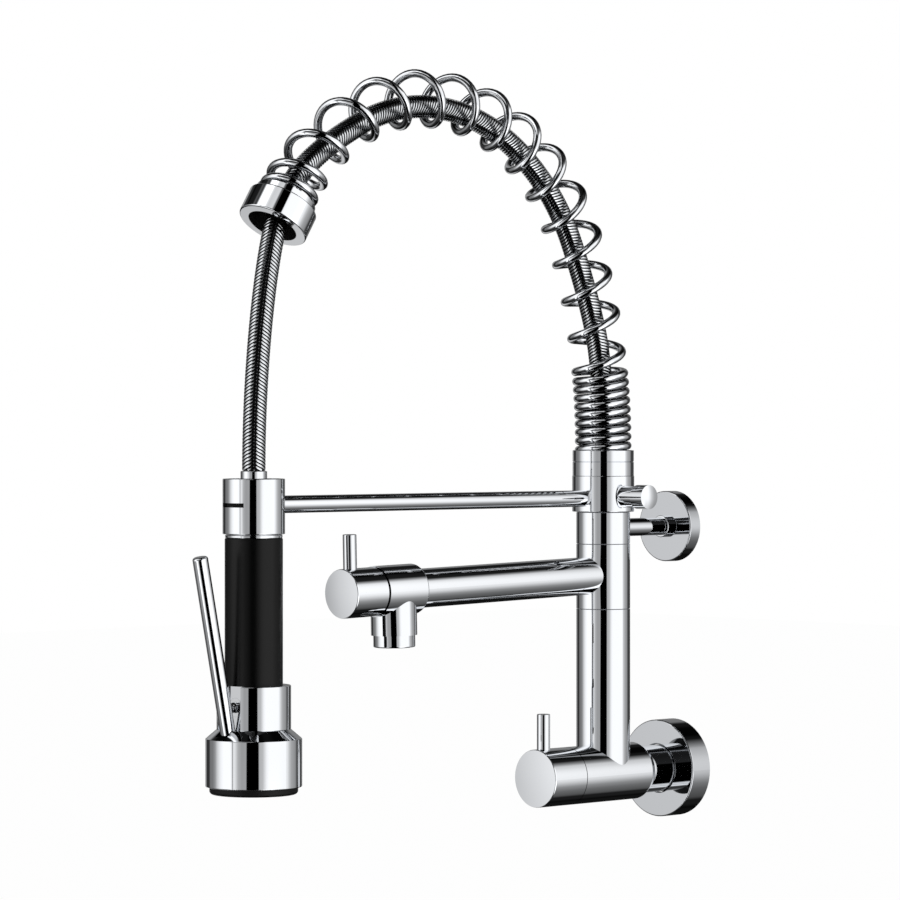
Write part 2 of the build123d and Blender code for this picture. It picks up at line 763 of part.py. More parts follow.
def build_hose():
    route = hose_points()
    print("hose: corners", [(round(out, 1), round(up, 1)) for out, up in route])
    runs = [math.dist(a, b) for a, b in zip(route, route[1:])]
    radii = []
    for i in range(1, len(route) - 1):
        before = math.atan2(route[i][1] - route[i - 1][1], route[i][0] - route[i - 1][0])
        after = math.atan2(route[i + 1][1] - route[i][1], route[i + 1][0] - route[i][0])
        turn = abs(math.remainder(after - before, 2 * math.pi))
        radii.append(hose_bend_share * min(runs[i - 1], runs[i]) / math.tan(turn / 2))
    print("hose: bend radii", [round(r) for r in radii])
    side = Plane(origin=(0, -wall_to_column, 0), x_dir=(0, -1, 0), z_dir=(-1, 0, 0))
    path = side * FilletPolyline(*route, radius=radii)
    section = Plane(origin=path @ 0, z_dir=path % 0) * (Circle(hose_d / 2) - Circle(hose_bore_d / 2))
    hose = sweep(section, path=path)
    expected = path.length * math.pi * (hose_d ** 2 - hose_bore_d ** 2) / 4
    print("hose: length", round(path.length, 1), "volume", round(hose.volume), "of", round(expected))

    last_inside = len(hose_upright) + len(hose_in_spring) - 1
    here, there = (Vector(*side.from_local_coords((*route[i], 0))) for i in (last_inside, last_inside + 1))
    way = (there - here).normalized()
    below = Plane(origin=here + way * hose_drop_after, x_dir=(1, 0, 0), z_dir=way)
    room = below * Box(2 * hose_d, 2 * hose_d, 2 * wall_to_head, align=(Align.CENTER, Align.CENTER, Align.MIN))
    save("hose_arch", hose - room)
    save("hose_drop", hose & room)

    start = route[0][1]
    hose_r = hose_d / 2
    crimp_r = hose_r + hose_crimp_wall
    foot = stem_top + running_gap
    foot_top = stem_top + hose_tail_foot_t - running_gap
    bore = hose_bore_d / 2
    spigot_r = stem_bore_d / 2 - running_gap
    save("hose_tail", turned(
        [(bore, foot - hose_tail_l), (spigot_r, foot - hose_tail_l), (spigot_r, foot), (stem_r - loose_gap, foot),
         (stem_r - loose_gap, foot_top), (crimp_r, foot_top),
         (crimp_r, start + hose_crimp_l), (hose_r + seat_gap, start + hose_crimp_l), (hose_r + seat_gap, start),
         (bore, start)], column))


# Spray head

def build_nozzle_face():
    face_top = face_bottom + face_t
    inner = face_bottom + face_recess
    face = turned(
        [(0, inner), (face_r - face_rim, inner), (face_r - face_rim, face_bottom), (face_r, face_bottom),
         (face_r, face_top), (0, face_top)], head, face_round, (3,))
    nozzle_r = nozzle_d / 2
    for count, share in nozzle_rings:
        for spot in PolarLocations(share * face_r, count):
            face += head * Pos(0, 0, inner) * spot * Cone(
                nozzle_r * nozzle_tip_share, nozzle_r, face_recess, align=(Align.CENTER, Align.CENTER, Align.MAX))
    save("spray_face", face)


def build_head():
    bore = hose_bore_d / 2
    nut_r = hose_nut_d / 2
    foot_r = hose_nut_foot_d / 2
    foot_bottom = dock_ring_bottom + neck_foot_up
    foot_top = foot_bottom + hose_nut_foot_t
    save("hose_nut", turned(
        [(bore, foot_bottom), (foot_r, foot_bottom), (foot_r, foot_top), (nut_r, foot_top), (nut_r, nut_top),
         (bore, nut_top)], head, edge_round, (4,)))

    neck_r = dock_ring_bore_d / 2 - loose_gap
    lip_top = dock_ring_bottom - loose_gap
    lip_bottom = lip_top - neck_lip_t
    neck_top = dock_ring_top - neck_below_dock
    spigot_r = neck_spigot_d / 2
    spigot_bottom = lip_bottom - neck_spigot_l
    water = core_bore_d / 2
    shelf = foot_bottom - running_gap
    roof = foot_top + running_gap
    neck = turned(
        [(water, spigot_bottom), (spigot_r, spigot_bottom), (spigot_r, lip_bottom), (neck_lip_d / 2, lip_bottom),
         (neck_lip_d / 2, lip_top), (neck_r, lip_top), (neck_r, neck_top), (nut_r + running_gap, neck_top),
         (nut_r + running_gap, roof), (foot_r + running_gap, roof), (foot_r + running_gap, shelf),
         (water, shelf)], head, edge_round, (3, 4))
    save("spray_neck", neck)

    core_r = grip_bore_d / 2 - seat_gap
    core_spigot_r = core_spigot_d / 2
    socket_r = spigot_r + seat_gap
    socket_at = spigot_bottom - seat_gap
    save("spray_core", turned(
        [(water, body_top - core_spigot_l), (core_spigot_r, body_top - core_spigot_l), (core_spigot_r, body_top),
         (core_r, body_top), (core_r, lip_bottom), (socket_r, lip_bottom), (socket_r, socket_at),
         (water, socket_at)], head))
    grip_r = grip_d / 2
    save("spray_grip", turned(
        [(grip_bore_d / 2, body_top), (grip_r, body_top), (grip_r, lip_bottom), (grip_bore_d / 2, lip_bottom)],
        head, soft_round, (2,)))
    build_lever_valve(core_spigot_r)
    build_bell()
    build_nozzle_face()


def build_lever_valve(core_spigot_r):
    # The body has an open groove at the front, where the lever lies over the plunger that it presses.
    body_r = body_d / 2
    bell_spigot_r = bell_spigot_d / 2 - seat_gap
    chamber_r = body_bore_d / 2
    water = core_bore_d / 2
    spigot_end = body_bottom - bell_spigot_l
    socket_at = body_top - core_spigot_l - seat_gap
    body = turned(
        [(water, spigot_end), (bell_spigot_r, spigot_end), (bell_spigot_r, body_bottom), (body_r, body_bottom),
         (body_r, body_top), (core_spigot_r + seat_gap, body_top), (core_spigot_r + seat_gap, socket_at),
         (water, socket_at)], head, edge_round, (3, 4))
    body -= block((-groove_w / 2, groove_w / 2), (-bell_d, -groove_floor), (0, 2 * body_top), head)
    to_room = Plane(origin=(0, -wall_to_head, plunger_height), x_dir=(1, 0, 0), z_dir=(0, -1, 0))
    bush_r = bush_d / 2
    body -= rod(chamber_r, plunger_height - bush_d, plunger_height + bush_d, head)
    body -= rod(bush_r + seat_gap, 0, bell_d, to_room)
    save("spray_body", body)

    plunger_r = plunger_d / 2
    head_r = plunger_head_d / 2
    lean = math.radians(lever_lean)
    lever_at = lever_pivot_out + (plunger_height - lever_pivot_height) * math.tan(lean)
    dome_at = lever_at - (lever_d / 2 + plunger_r + plunger_lift) / math.cos(lean)
    bush_in = chamber_r
    save("plunger_bush", ring(plunger_r + running_gap, bush_r, bush_in, groove_floor, to_room))
    seal_at = bush_in - running_gap - plunger_seal_t
    head_at = seal_at - plunger_head_t
    plunger = rod(head_r, head_at, seal_at, to_room) + rod(plunger_r, seal_at, dome_at, to_room)
    plunger += to_room * Pos(0, 0, dome_at) * Sphere(plunger_r)
    save("plunger", plunger)
    save("plunger_seal", ring(plunger_r, head_r, seal_at, seal_at + plunger_seal_t, to_room))

    # Return spring between the plunger's head and the far wall of the chamber
    return_wire_r = return_wire_d / 2
    return_r = return_spring_d / 2 - return_wire_r
    near = head_at - return_wire_r - running_gap
    wall_at = math.sqrt(chamber_r ** 2 - (return_r + return_wire_r) ** 2)
    far = -wall_at + return_wire_r + running_gap
    quarters = 4 * return_turns

    def wire(q):
        turn = math.pi * q / 2
        along = far + (near - far) * q / quarters
        return Vector(*to_room.from_local_coords((return_r * math.cos(turn), return_r * math.sin(turn), along)))

    points = [wire(q) for q in range(quarters + 1)]
    tangents = [(wire(q + nudge) - wire(q - nudge)).normalized() for q in range(quarters + 1)]
    print("return spring: least gap between turns", round(least_gap(wire, quarters, return_wire_r), 2))
    save("plunger_spring", swept_wire(points, tangents, return_wire_r, return_wire_d))


def build_bell():
    body_r = body_d / 2
    bell_r = bell_d / 2
    inner_r = face_r + seat_gap
    roof = pocket_floor - bell_roof_t
    hole_r = bell_spigot_d / 2
    bell = turned(
        [(hole_r, body_bottom), (body_r, body_bottom), (bell_r, bell_shoulder), (bell_r, bell_bottom),
         (inner_r, bell_bottom), (inner_r, roof - bell_wall), (hole_r, roof)], head, edge_round, (2, 3))
    half = lever_d / 2 + lever_room
    front = lever_pivot_out + half + pocket_floor_gap
    bell -= block((-half, half), (-front, -groove_floor), (pocket_floor, 2 * body_bottom), head)
    pivot = Plane(origin=(0, -wall_to_head - lever_pivot_out, lever_pivot_height), x_dir=(0, -1, 0), z_dir=(1, 0, 0))
    bell -= pivot * Cylinder(lever_pin_d / 2, lever_pin_l)
    save("spray_bell", bell)
    save("lever_pivot_pin", pivot * Cylinder(lever_pin_d / 2, lever_pin_l))

    lean = math.radians(lever_lean)
    along = Plane(origin=pivot.origin, x_dir=(1, 0, 0), z_dir=(0, -math.sin(lean), math.cos(lean)))
    lever_r = lever_d / 2
    lever = turned([(0, 0), (lever_r, 0), (lever_r, lever_l), (0, lever_l)], along, lever_round, (2,))
    lever += along * Sphere(lever_r)
    lever -= pivot * Cylinder(lever_pin_d / 2 + seat_gap, lever_pin_l)
    save("spray_lever", lever)


build_inlet()
build_barrel()
build_column()
build_bracket()
build_spout()
build_dock()
build_spring()
build_hose()
build_head()
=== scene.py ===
import json
import math
import bpy
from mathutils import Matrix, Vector

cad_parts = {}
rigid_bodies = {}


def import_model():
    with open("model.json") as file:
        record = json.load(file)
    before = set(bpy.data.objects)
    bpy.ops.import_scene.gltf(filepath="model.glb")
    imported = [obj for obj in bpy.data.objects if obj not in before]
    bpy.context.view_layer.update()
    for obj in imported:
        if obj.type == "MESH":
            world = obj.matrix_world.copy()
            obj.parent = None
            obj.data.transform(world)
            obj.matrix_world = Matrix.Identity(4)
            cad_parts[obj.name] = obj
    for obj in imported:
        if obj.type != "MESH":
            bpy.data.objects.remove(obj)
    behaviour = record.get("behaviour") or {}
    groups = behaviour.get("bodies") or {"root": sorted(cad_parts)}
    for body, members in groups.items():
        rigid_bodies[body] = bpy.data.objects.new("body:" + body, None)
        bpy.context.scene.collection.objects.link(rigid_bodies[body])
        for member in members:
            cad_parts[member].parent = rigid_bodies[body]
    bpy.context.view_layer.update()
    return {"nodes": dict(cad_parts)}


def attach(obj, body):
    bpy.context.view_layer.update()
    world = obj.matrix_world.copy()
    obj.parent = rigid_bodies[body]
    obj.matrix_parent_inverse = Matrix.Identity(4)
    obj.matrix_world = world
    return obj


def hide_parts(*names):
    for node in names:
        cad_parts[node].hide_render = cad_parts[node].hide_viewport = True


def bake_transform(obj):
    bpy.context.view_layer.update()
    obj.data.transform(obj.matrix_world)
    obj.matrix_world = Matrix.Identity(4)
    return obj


for leftover in list(bpy.data.objects):  # an empty stage before the frame comes in
    bpy.data.objects.remove(leftover, do_unlink=True)

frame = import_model()
nodes = frame["nodes"]
print("frame loaded:", len(nodes), "nodes")


def linear(hexColour):
    parts = [int(hexColour[i:i + 2], 16) / 255 for i in (1, 3, 5)]
    return [c / 12.92 if c <= 0.04045 else ((c + 0.055) / 1.055) ** 2.4 for c in parts] + [1.0]


def addNode(tree, kind, inputs=None, **settings):  # an input is a constant or another node's socket
    node = tree.nodes.new(kind)
    for name, value in settings.items():
        setattr(node, name, value)
    for socket, value in (inputs or {}).items():
        if isinstance(value, bpy.types.NodeSocket):
            tree.links.new(value, node.inputs[socket])
        else:
            node.inputs[socket].default_value = value
    return node


def combine(tree, operation, *terms):
    return addNode(tree, "ShaderNodeMath", dict(enumerate(terms)), operation=operation).outputs["Value"]


def remap(tree, value, low, high, least=0.0, most=1.0, **settings):
    limits = {"Value": value, "From Min": low, "From Max": high, "To Min": least, "To Max": most}
    return addNode(tree, "ShaderNodeMapRange", limits, **settings).outputs["Result"]


def mixColours(tree, share, first, second, **settings):
    parts = {"Factor": share, "A": first, "B": second}
    return addNode(tree, "ShaderNodeMix", parts, data_type="RGBA", **settings).outputs["Result"]


def noise(tree, millimetres, detail):  # unevenness of that size, fixed to the piece
    place = addNode(tree, "ShaderNodeTexCoord").outputs["Object"]
    pattern = {"Vector": place, "Scale": 1000.0 / millimetres, "Detail": detail}
    return addNode(tree, "ShaderNodeTexNoise", pattern).outputs["Fac"]


def addBump(tree, shader, height, strength, deep):
    bump = addNode(tree, "ShaderNodeBump", {"Height": height, "Strength": strength, "Distance": deep})
    tree.links.new(bump.outputs["Normal"], shader.inputs["Normal"])


def startMaterial(name, colour, metallic, roughness):
    material = bpy.data.materials.new(name)
    material.use_nodes = True
    tree = material.node_tree
    tree.nodes.clear()
    shader = addNode(tree, "ShaderNodeBsdfPrincipled",
                     {"Base Color": linear(colour), "Metallic": metallic, "Roughness": roughness})
    addNode(tree, "ShaderNodeOutputMaterial", {"Surface": shader.outputs["BSDF"]})
    return material, tree, shader


# One noise that varies the colour, the polish or the height, whichever the look names
def makeMottled(name, look):
    material, tree, shader = startMaterial(name, look["colour"], look["metallic"], look["roughness"])
    grain = noise(tree, look["grainMm"], look["detail"])
    if "dark" in look:
        tint = mixColours(tree, grain, linear(look["dark"]), linear(look["light"]))
        tree.links.new(tint, shader.inputs["Base Color"])
    if "roughLow" in look:
        rough = remap(tree, grain, 0.0, 1.0, look["roughLow"], look["roughHigh"])
        tree.links.new(rough, shader.inputs["Roughness"])
    if "bump" in look:
        addBump(tree, shader, grain, look["bump"], look["bumpDeep"])
    for socket, value in look.get("sockets", {}).items():
        shader.inputs[socket].default_value = value
    return material


# Polished chrome plate: a hard mirror with a faint unevenness left by the polishing wheel. The pressed cover
# cups take a thinner plate, so the same mirror comes out greyer on them
chromeLook = {"plate": "#dfe1e4", "cup": "#c3c5c8", "roughness": 0.03, "roughLow": 0.015, "roughHigh": 0.05,
              "smearMm": 14.0, "smearDetail": 3.0, "smearFrom": 0.35, "smearTo": 0.75,
              "peelMm": 3.0, "peelDetail": 1.0, "peel": 0.005, "peelDeep": 0.0003}


def makeChrome(name, colour):
    look = chromeLook
    material, tree, shader = startMaterial(name, colour, 1.0, look["roughness"])
    smear = noise(tree, look["smearMm"], look["smearDetail"])
    rough = remap(tree, smear, look["smearFrom"], look["smearTo"], look["roughLow"], look["roughHigh"])
    tree.links.new(rough, shader.inputs["Roughness"])
    addBump(tree, shader, noise(tree, look["peelMm"], look["peelDetail"]), look["peel"], look["peelDeep"])
    return material


# Spring wire: the same plate on drawn wire, with painted shade: black in the seams where the close turns
# touch
wireLook = {"colour": "#d8dadd", "paintedSeamShade": "#080809", "shadeFrom": 0.58, "shadeTo": 0.98,
            "closeTop": 0.24, "openFrom": 0.254}


def makeSpringWire():
    material = makeChrome("platedSpringWire", wireLook["colour"])
    tree = material.node_tree
    shader = tree.nodes["Principled BSDF"]
    # Painted shade: faces of the close-wound turns that point up or down, into the next turn, go black
    normal = addNode(tree, "ShaderNodeNewGeometry").outputs["Normal"]
    tilt = addNode(tree, "ShaderNodeSeparateXYZ", {"Vector": normal}).outputs["Z"]
    upright = combine(tree, "ABSOLUTE", tilt)
    paintedSeamShade = remap(tree, upright, wireLook["shadeFrom"], wireLook["shadeTo"], interpolation_type="SMOOTHSTEP")
    place = addNode(tree, "ShaderNodeTexCoord").outputs["Object"]
    height = addNode(tree, "ShaderNodeSeparateXYZ", {"Vector": place}).outputs["Z"]
    close = remap(tree, height, wireLook["openFrom"], wireLook["closeTop"])
    share = combine(tree, "MULTIPLY", paintedSeamShade, close)
    tint = mixColours(tree, share, linear(wireLook["colour"]), linear(wireLook["paintedSeamShade"]))
    tree.links.new(tint, shader.inputs["Base Color"])
    return material


# Turned brass: bright yellow metal with fine tool marks
brassLook = {"colour": "#c9a45c", "metallic": 1.0, "roughness": 0.28, "grainMm": 0.4, "detail": 2.0,
             "dark": "#b8924c", "light": "#d6b26a", "bump": 0.15, "bumpDeep": 0.00005}

# Stainless steel, drawn or stamped: grey metal with a soft satin
steelLook = {"colour": "#a9acb0", "metallic": 1.0, "roughness": 0.3, "grainMm": 0.5, "detail": 2.0,
             "roughLow": 0.22, "roughHigh": 0.42}

# Lapped alumina: pale, dense ceramic, almost mirror flat
ceramicLook = {"colour": "#ece8df", "metallic": 0.0, "roughness": 0.18, "grainMm": 0.6, "detail": 2.0,
               "dark": "#e4dfd4", "light": "#f2efe8", "sockets": {"IOR": 1.76}}

# Moulded EPDM rubber: black, with a dull bloom
rubberLook = {"colour": "#0b0b0b", "metallic": 0.0, "roughness": 0.55, "grainMm": 5.0, "detail": 4.0,
              "dark": "#070707", "light": "#101011", "sockets": {"Specular IOR Level": 0.25}}

# Black ABS sleeve with a satin moulded skin: deep black that still catches the soft boxes
gripLook = {"colour": "#030303", "metallic": 0.0, "roughness": 0.3, "grainMm": 0.7, "detail": 3.0,
            "roughLow": 0.26, "roughHigh": 0.34, "bump": 0.08, "bumpDeep": 0.00006,
            "sockets": {"Specular IOR Level": 0.2}}

# Grey acetal: slippery moulded plastic for washers and the aerator's screen
acetalLook = {"colour": "#8d9096", "metallic": 0.0, "roughness": 0.4, "grainMm": 4.0, "detail": 2.0,
              "dark": "#85888e", "light": "#989ba1"}

# Painted shade for recesses: nearly black, with no shine
recessShadeLook = {"colour": "#070707", "roughness": 0.8}

# Stainless braid: bundles of bright wires drawn across each bundle on its own UV map, with painted shade in
# the grooves between the wires, and near-black painted shade where a bundle dives under another
braidLook = {"colour": "#dcdee0", "roughness": 0.08, "wires": 4, "between": "#b4b7ba", "wire": "#e2e4e6",
             "shade": "#0c0c0d", "sunk": 0.55, "risen": 0.9}


def makeBraid():
    material, tree, shader = startMaterial("stainlessBraid", braidLook["colour"], 1.0, braidLook["roughness"])

    def firstOf(uvName):
        spot = addNode(tree, "ShaderNodeUVMap", uv_map=uvName).outputs["UV"]
        return addNode(tree, "ShaderNodeSeparateXYZ", {"Vector": spot}).outputs["X"]

    # Painted shade: stripes across each bundle, darker in the grooves between its wires
    count = combine(tree, "MULTIPLY", firstOf("wireMap"), braidLook["wires"])
    wave = combine(tree, "PINGPONG", count, 1.0)
    tint = mixColours(tree, wave, linear(braidLook["between"]), linear(braidLook["wire"]))
    # Painted shade: the lower a bundle sinks under another, the nearer black its colour
    lit = remap(tree, firstOf("weaveMap"), braidLook["sunk"], braidLook["risen"])
    shaded = mixColours(tree, lit, linear(braidLook["shade"]), tint)
    tree.links.new(shaded, shader.inputs["Base Color"])
    return material


chrome = makeChrome("polishedChromePlate", chromeLook["plate"])
wireChrome = makeSpringWire()
cupChrome = makeChrome("platedPressedCup", chromeLook["cup"])
recessShadeMaterial = startMaterial("darkRecess", recessShadeLook["colour"], 0.0, recessShadeLook["roughness"])[0]
brass = makeMottled("turnedBrass", brassLook)
steel = makeMottled("satinStainlessSteel", steelLook)
ceramic = makeMottled("lappedAlumina", ceramicLook)
rubber = makeMottled("mouldedEpdmRubber", rubberLook)
gripBlack = makeMottled("satinBlackAbs", gripLook)
acetal = makeMottled("mouldedAcetal", acetalLook)
braid = makeBraid()
print("materials made")

finishes = [
    (chrome, "inlet_union valve_barrel valve_knob valve_knob_pin lower_column upper_column bracket_arm "
             "bracket_ring spout_sleeve spout_tube spout_tee spout_knob spout_knob_pin aerator_housing "
             "dock_collar thumbscrew dock_rod dock_ring spring_ferrule spring_cap hose_nut spray_neck "
             "spray_body spray_lever spray_bell plunger plunger_bush"),
    (cupChrome, "inlet_flange bracket_flange"),
    (brass, "inlet_nipple valve_cartridge_body valve_cartridge_nut valve_spindle swivel_stem "
            "spout_cartridge_body spout_cartridge_nut spout_spindle spray_core"),
    (steel, "bracket_plate lever_pivot_pin plunger_spring hose_tail"),
    (ceramic, "valve_fixed_disc valve_moving_disc spout_fixed_disc spout_moving_disc"),
    (rubber, "inlet_washer valve_seat_seal spout_seat_seal spout_o_rings aerator_washer plunger_seal "
             "spray_face"),
    (gripBlack, "spray_grip"),
    (acetal, "slip_washers aerator_screen thumbscrew_pad"),
]
for material, names in finishes:
    for name in names.split():
        piece = nodes[name]
        piece.data.materials.clear()
        piece.data.materials.append(material)
print("CAD nodes finished")


def addPiece(name, data):
    piece = bpy.data.objects.new(name, data)
    bpy.context.scene.collection.objects.link(piece)
    return piece


def keep(piece, body, *replaced):
    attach(piece, body)
    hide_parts(*replaced)


def selectOnly(piece):
    bpy.ops.object.select_all(action="DESELECT")
    piece.select_set(True)
    bpy.context.view_layer.objects.active = piece


# Dock ring and spring cap: as built, with painted shade, near black, inside the ring's short slot and the
# cap's bore
slot = {"ring": 0.0176, "centre": (0.0, -0.348), "skin": 0.0001, "depth": 0.0025, "edge": 0.005}
bore = {"centre": (0.0, -0.3238, 0.34235), "lean": 147.7, "radius": 0.01475, "skin": 0.0002}
ringHeights = [corner.co.z for corner in nodes["dock_ring"].data.vertices]
slotLow = min(ringHeights) + slot["edge"]
slotHigh = max(ringHeights) - slot["edge"]


def darkened(name, copied, inside):
    piece = addPiece(name, nodes[copied].data.copy())
    piece.matrix_world = nodes[copied].matrix_world
    # Painted shade: the faces inside the recess take the near-black material
    piece.data.materials.append(recessShadeMaterial)
    for face in piece.data.polygons:
        if inside(face.center):
            face.material_index = 1
    keep(piece, "dock_arm", copied)


def inSlot(spot):
    away = math.hypot(spot.x - slot["centre"][0], spot.y - slot["centre"][1])
    return slotLow < spot.z < slotHigh and slot["ring"] - slot["depth"] < away < slot["ring"] - slot["skin"]


def inBore(spot):
    lean = math.radians(bore["lean"])
    offset = spot - Vector(bore["centre"])
    along = Vector((0, -math.sin(lean), math.cos(lean)))
    return (offset - along * offset.dot(along)).length < bore["radius"] + bore["skin"]


darkened("dockRing", "dock_ring", inSlot)
darkened("springCap", "spring_cap", inBore)
print("recesses darkened")

# Inlet nipple: as built, but turned down to the root of its half-inch pipe thread, which is wound round it
thread = {"crest": 0.0104775, "root": 0.0093, "pitch": 0.001814, "crestHalf": 0.00022, "rootHalf": 0.00078,
          "sunk": 0.0002, "start": -0.0004, "turns": 8, "steps": 48, "crease": 30}


def makeThreadedNipple():
    bpy.ops.object.select_all(action="DESELECT")
    bpy.ops.mesh.primitive_plane_add(size=1)
    ridge = bpy.context.object
    for corner in ridge.data.vertices:  # the plane becomes the ridge's section
        outer = corner.co.x > 0
        away = thread["crest"] if outer else thread["root"] - thread["sunk"]
        half = thread["crestHalf"] if outer else thread["rootHalf"]
        corner.co = (away, thread["start"] + math.copysign(half, corner.co.y), 0)
    winding = ridge.modifiers.new("winding", "SCREW")
    winding.axis = "Y"
    winding.angle = 2 * math.pi
    winding.screw_offset = thread["pitch"]
    winding.iterations = thread["turns"]
    winding.steps = thread["steps"]
    winding.render_steps = thread["steps"]
    bpy.ops.object.modifier_apply(modifier="winding")
    bpy.ops.object.mode_set(mode="EDIT")
    bpy.ops.mesh.select_all(action="SELECT")
    bpy.ops.mesh.fill_holes(sides=4)
    bpy.ops.mesh.normals_make_consistent(inside=False)
    bpy.ops.object.mode_set(mode="OBJECT")
    bpy.ops.object.shade_smooth_by_angle(angle=math.radians(thread["crease"]))
    ridge.data.materials.append(brass)
    piece = addPiece("threadedNipple", nodes["inlet_nipple"].data.copy())
    for corner in piece.data.vertices:
        away = math.hypot(corner.co.x, corner.co.z)
        if abs(away - thread["crest"]) < thread["sunk"]:
            corner.co.x *= thread["root"] / away
            corner.co.z *= thread["root"] / away
    selectOnly(piece)
    ridge.select_set(True)
    bpy.ops.object.join()
    keep(piece, "column", "inlet_nipple")


makeThreadedNipple()
print("inlet threaded")

# The spring's centre line: a straight run, a slow lean and the round arch, all in the plane of the column
arch = {"columnY": -0.064, "foot": 0.19495, "straight": 0.0066, "leanRadius": 0.3165, "leanTurn": 22.3,
        "archRadius": 0.1333, "archTurn": 125.4}
leanLength = math.radians(arch["leanTurn"]) * arch["leanRadius"]
roundLength = math.radians(arch["archTurn"]) * arch["archRadius"]


def archPoint(s):
    out, up, lean = 0.0, arch["foot"], 0.0
    runs = ((arch["straight"], None), (leanLength, arch["leanRadius"]), (roundLength, arch["archRadius"]))
    for length, radius in runs:
        step = min(s, length)
        if radius is None:
            up += step
        else:
            end = lean + step / radius
            out += radius * (math.cos(lean) - math.cos(end))
            up += radius * (math.sin(end) - math.sin(lean))
            lean = end
        s -= step
    return out, up, lean


def ease(x):
    x = min(max(x, 0.0), 1.0)
    return x * x * (3 - 2 * x)


# Drawn wire, round and capped, along a row of points
drawn = {"bevelSteps": 5, "crease": 50}


def wireCurve(name, points, wireRadius, material):
    curve = bpy.data.curves.new(name, "CURVE")
    curve.dimensions = "3D"
    spline = curve.splines.new("POLY")
    spline.points.add(len(points) - 1)
    for spot, place in zip(spline.points, points):
        spot.co = (*place, 1.0)
    curve.bevel_depth = wireRadius
    curve.bevel_resolution = drawn["bevelSteps"]
    curve.use_fill_caps = True
    selectOnly(addPiece(name, curve))
    bpy.ops.object.convert(target="MESH")
    piece = bpy.context.object
    bpy.ops.object.shade_smooth_by_angle(angle=math.radians(drawn["crease"]))
    piece.data.materials.append(material)
    return piece


# Arch spring: chromed wire, close wound at the foot, open over the arch, closing again under the cap
spring = {"wire": 0.005, "outside": 0.0348, "quarters": 95, "dense": 8.7, "densePitch": 0.0054,
          "opening": 0.75, "closing": 2.85, "growth": 0.78, "startTurn": 0.875, "seat": 0.0003,
          "perTurn": 40, "endRun": 0.0012}


def makeArchSpring():
    coilRadius = (spring["outside"] - spring["wire"]) / 2
    length = arch["straight"] + leanLength + roundLength
    start = spring["wire"] / 2 + spring["seat"]
    quarters = spring["quarters"]
    turns = quarters / 4
    openness = []
    for i in range(quarters):
        at = (i + 0.5) / 4
        opened = ease((at - spring["dense"]) / spring["opening"]) * ease((turns - at) / spring["closing"])
        openness.append(opened * (1 + spring["growth"] * (at / turns - 0.5)))
    spare = (length - 2 * start - spring["densePitch"] * turns) / (sum(openness) / 4)
    along = [start]
    for share in openness:
        along.append(along[-1] + (spring["densePitch"] + spare * share) / 4)

    def wire(turn):
        q = turn * 4
        low = min(int(q), quarters - 1)
        out, up, lean = archPoint(along[low] + (along[low + 1] - along[low]) * (q - low))
        angle = 2 * math.pi * (spring["startTurn"] + turn)
        inward = coilRadius * math.cos(angle)
        return Vector((coilRadius * math.sin(angle), arch["columnY"] - out - inward * math.cos(lean),
                       up - inward * math.sin(lean)))

    count = quarters * spring["perTurn"] // 4
    points = [wire(i / spring["perTurn"]) for i in range(count + 1)]
    points.insert(0, points[0] + (points[0] - points[1]).normalized() * spring["endRun"])
    points.append(points[-1] + (points[-1] - points[-2]).normalized() * spring["endRun"])
    piece = wireCurve("archSpring", points, spring["wire"] / 2, wireChrome)
    keep(piece, "dock_arm", "arch_spring")


makeArchSpring()
print("spring wound")

# Braided hose: its route from the column, over the arch and down to the spray, in millimetres out from the
# column and up, and the weave around it
hose = {"route": [(0, 202.2), (0, 246.0), (13.4, 292.7), (41.6, 353.1), (99.6, 396.0), (171.6, 402.4),
                  (236.6, 370.2), (264.5, 340.4), (276.5, 292.4), (284.0, 221.9), (284.0, 187.4)],
        "dropFrom": (268.9, 322.9), "order": 3, "routeSteps": 40, "diameter": 0.0136, "strands": 10,
        "lead": 0.02, "strandWidth": 0.001, "crown": 0.00012, "lift": 0.00028, "steep": 2.2,
        "liner": 0.0061, "linerSides": 32, "linerStep": 0.004, "crease": 70}


def routeSpot(out, up):
    return Vector((0, arch["columnY"] - out / 1000, up / 1000))


def routeLine():
    curve = bpy.data.curves.new("hoseRoute", "CURVE")
    curve.dimensions = "3D"
    spline = curve.splines.new("NURBS")
    spline.points.add(len(hose["route"]) - 1)
    for spot, place in zip(spline.points, hose["route"]):
        spot.co = (*routeSpot(*place), 1)
    spline.order_u = hose["order"]
    spline.use_endpoint_u = True
    spline.resolution_u = hose["routeSteps"]
    holder = addPiece("hoseRoute", curve)
    bpy.context.view_layer.update()
    mesh = bpy.data.meshes.new_from_object(holder)
    line = [corner.co.copy() for corner in mesh.vertices]
    bpy.data.objects.remove(holder)
    bpy.data.curves.remove(curve)
    bpy.data.meshes.remove(mesh)
    return line


line = routeLine()
reach = [0.0]
for here, there in zip(line, line[1:]):
    reach.append(reach[-1] + (there - here).length)


def hosePlace(s):  # point and direction at a length along the hose, straight on past both ends
    low = 0
    high = len(reach) - 2
    while low < high:
        middle = (low + high + 1) // 2
        if reach[middle] <= s:
            low = middle
        else:
            high = middle - 1
    way = (line[low + 1] - line[low]).normalized()
    return line[low] + way * (s - reach[low]), way


def hoseSpot(s, angle, radius):
    place, way = hosePlace(s)
    side = Vector((1, 0, 0))
    return place + (side * math.cos(angle) + way.cross(side) * math.sin(angle)) * radius


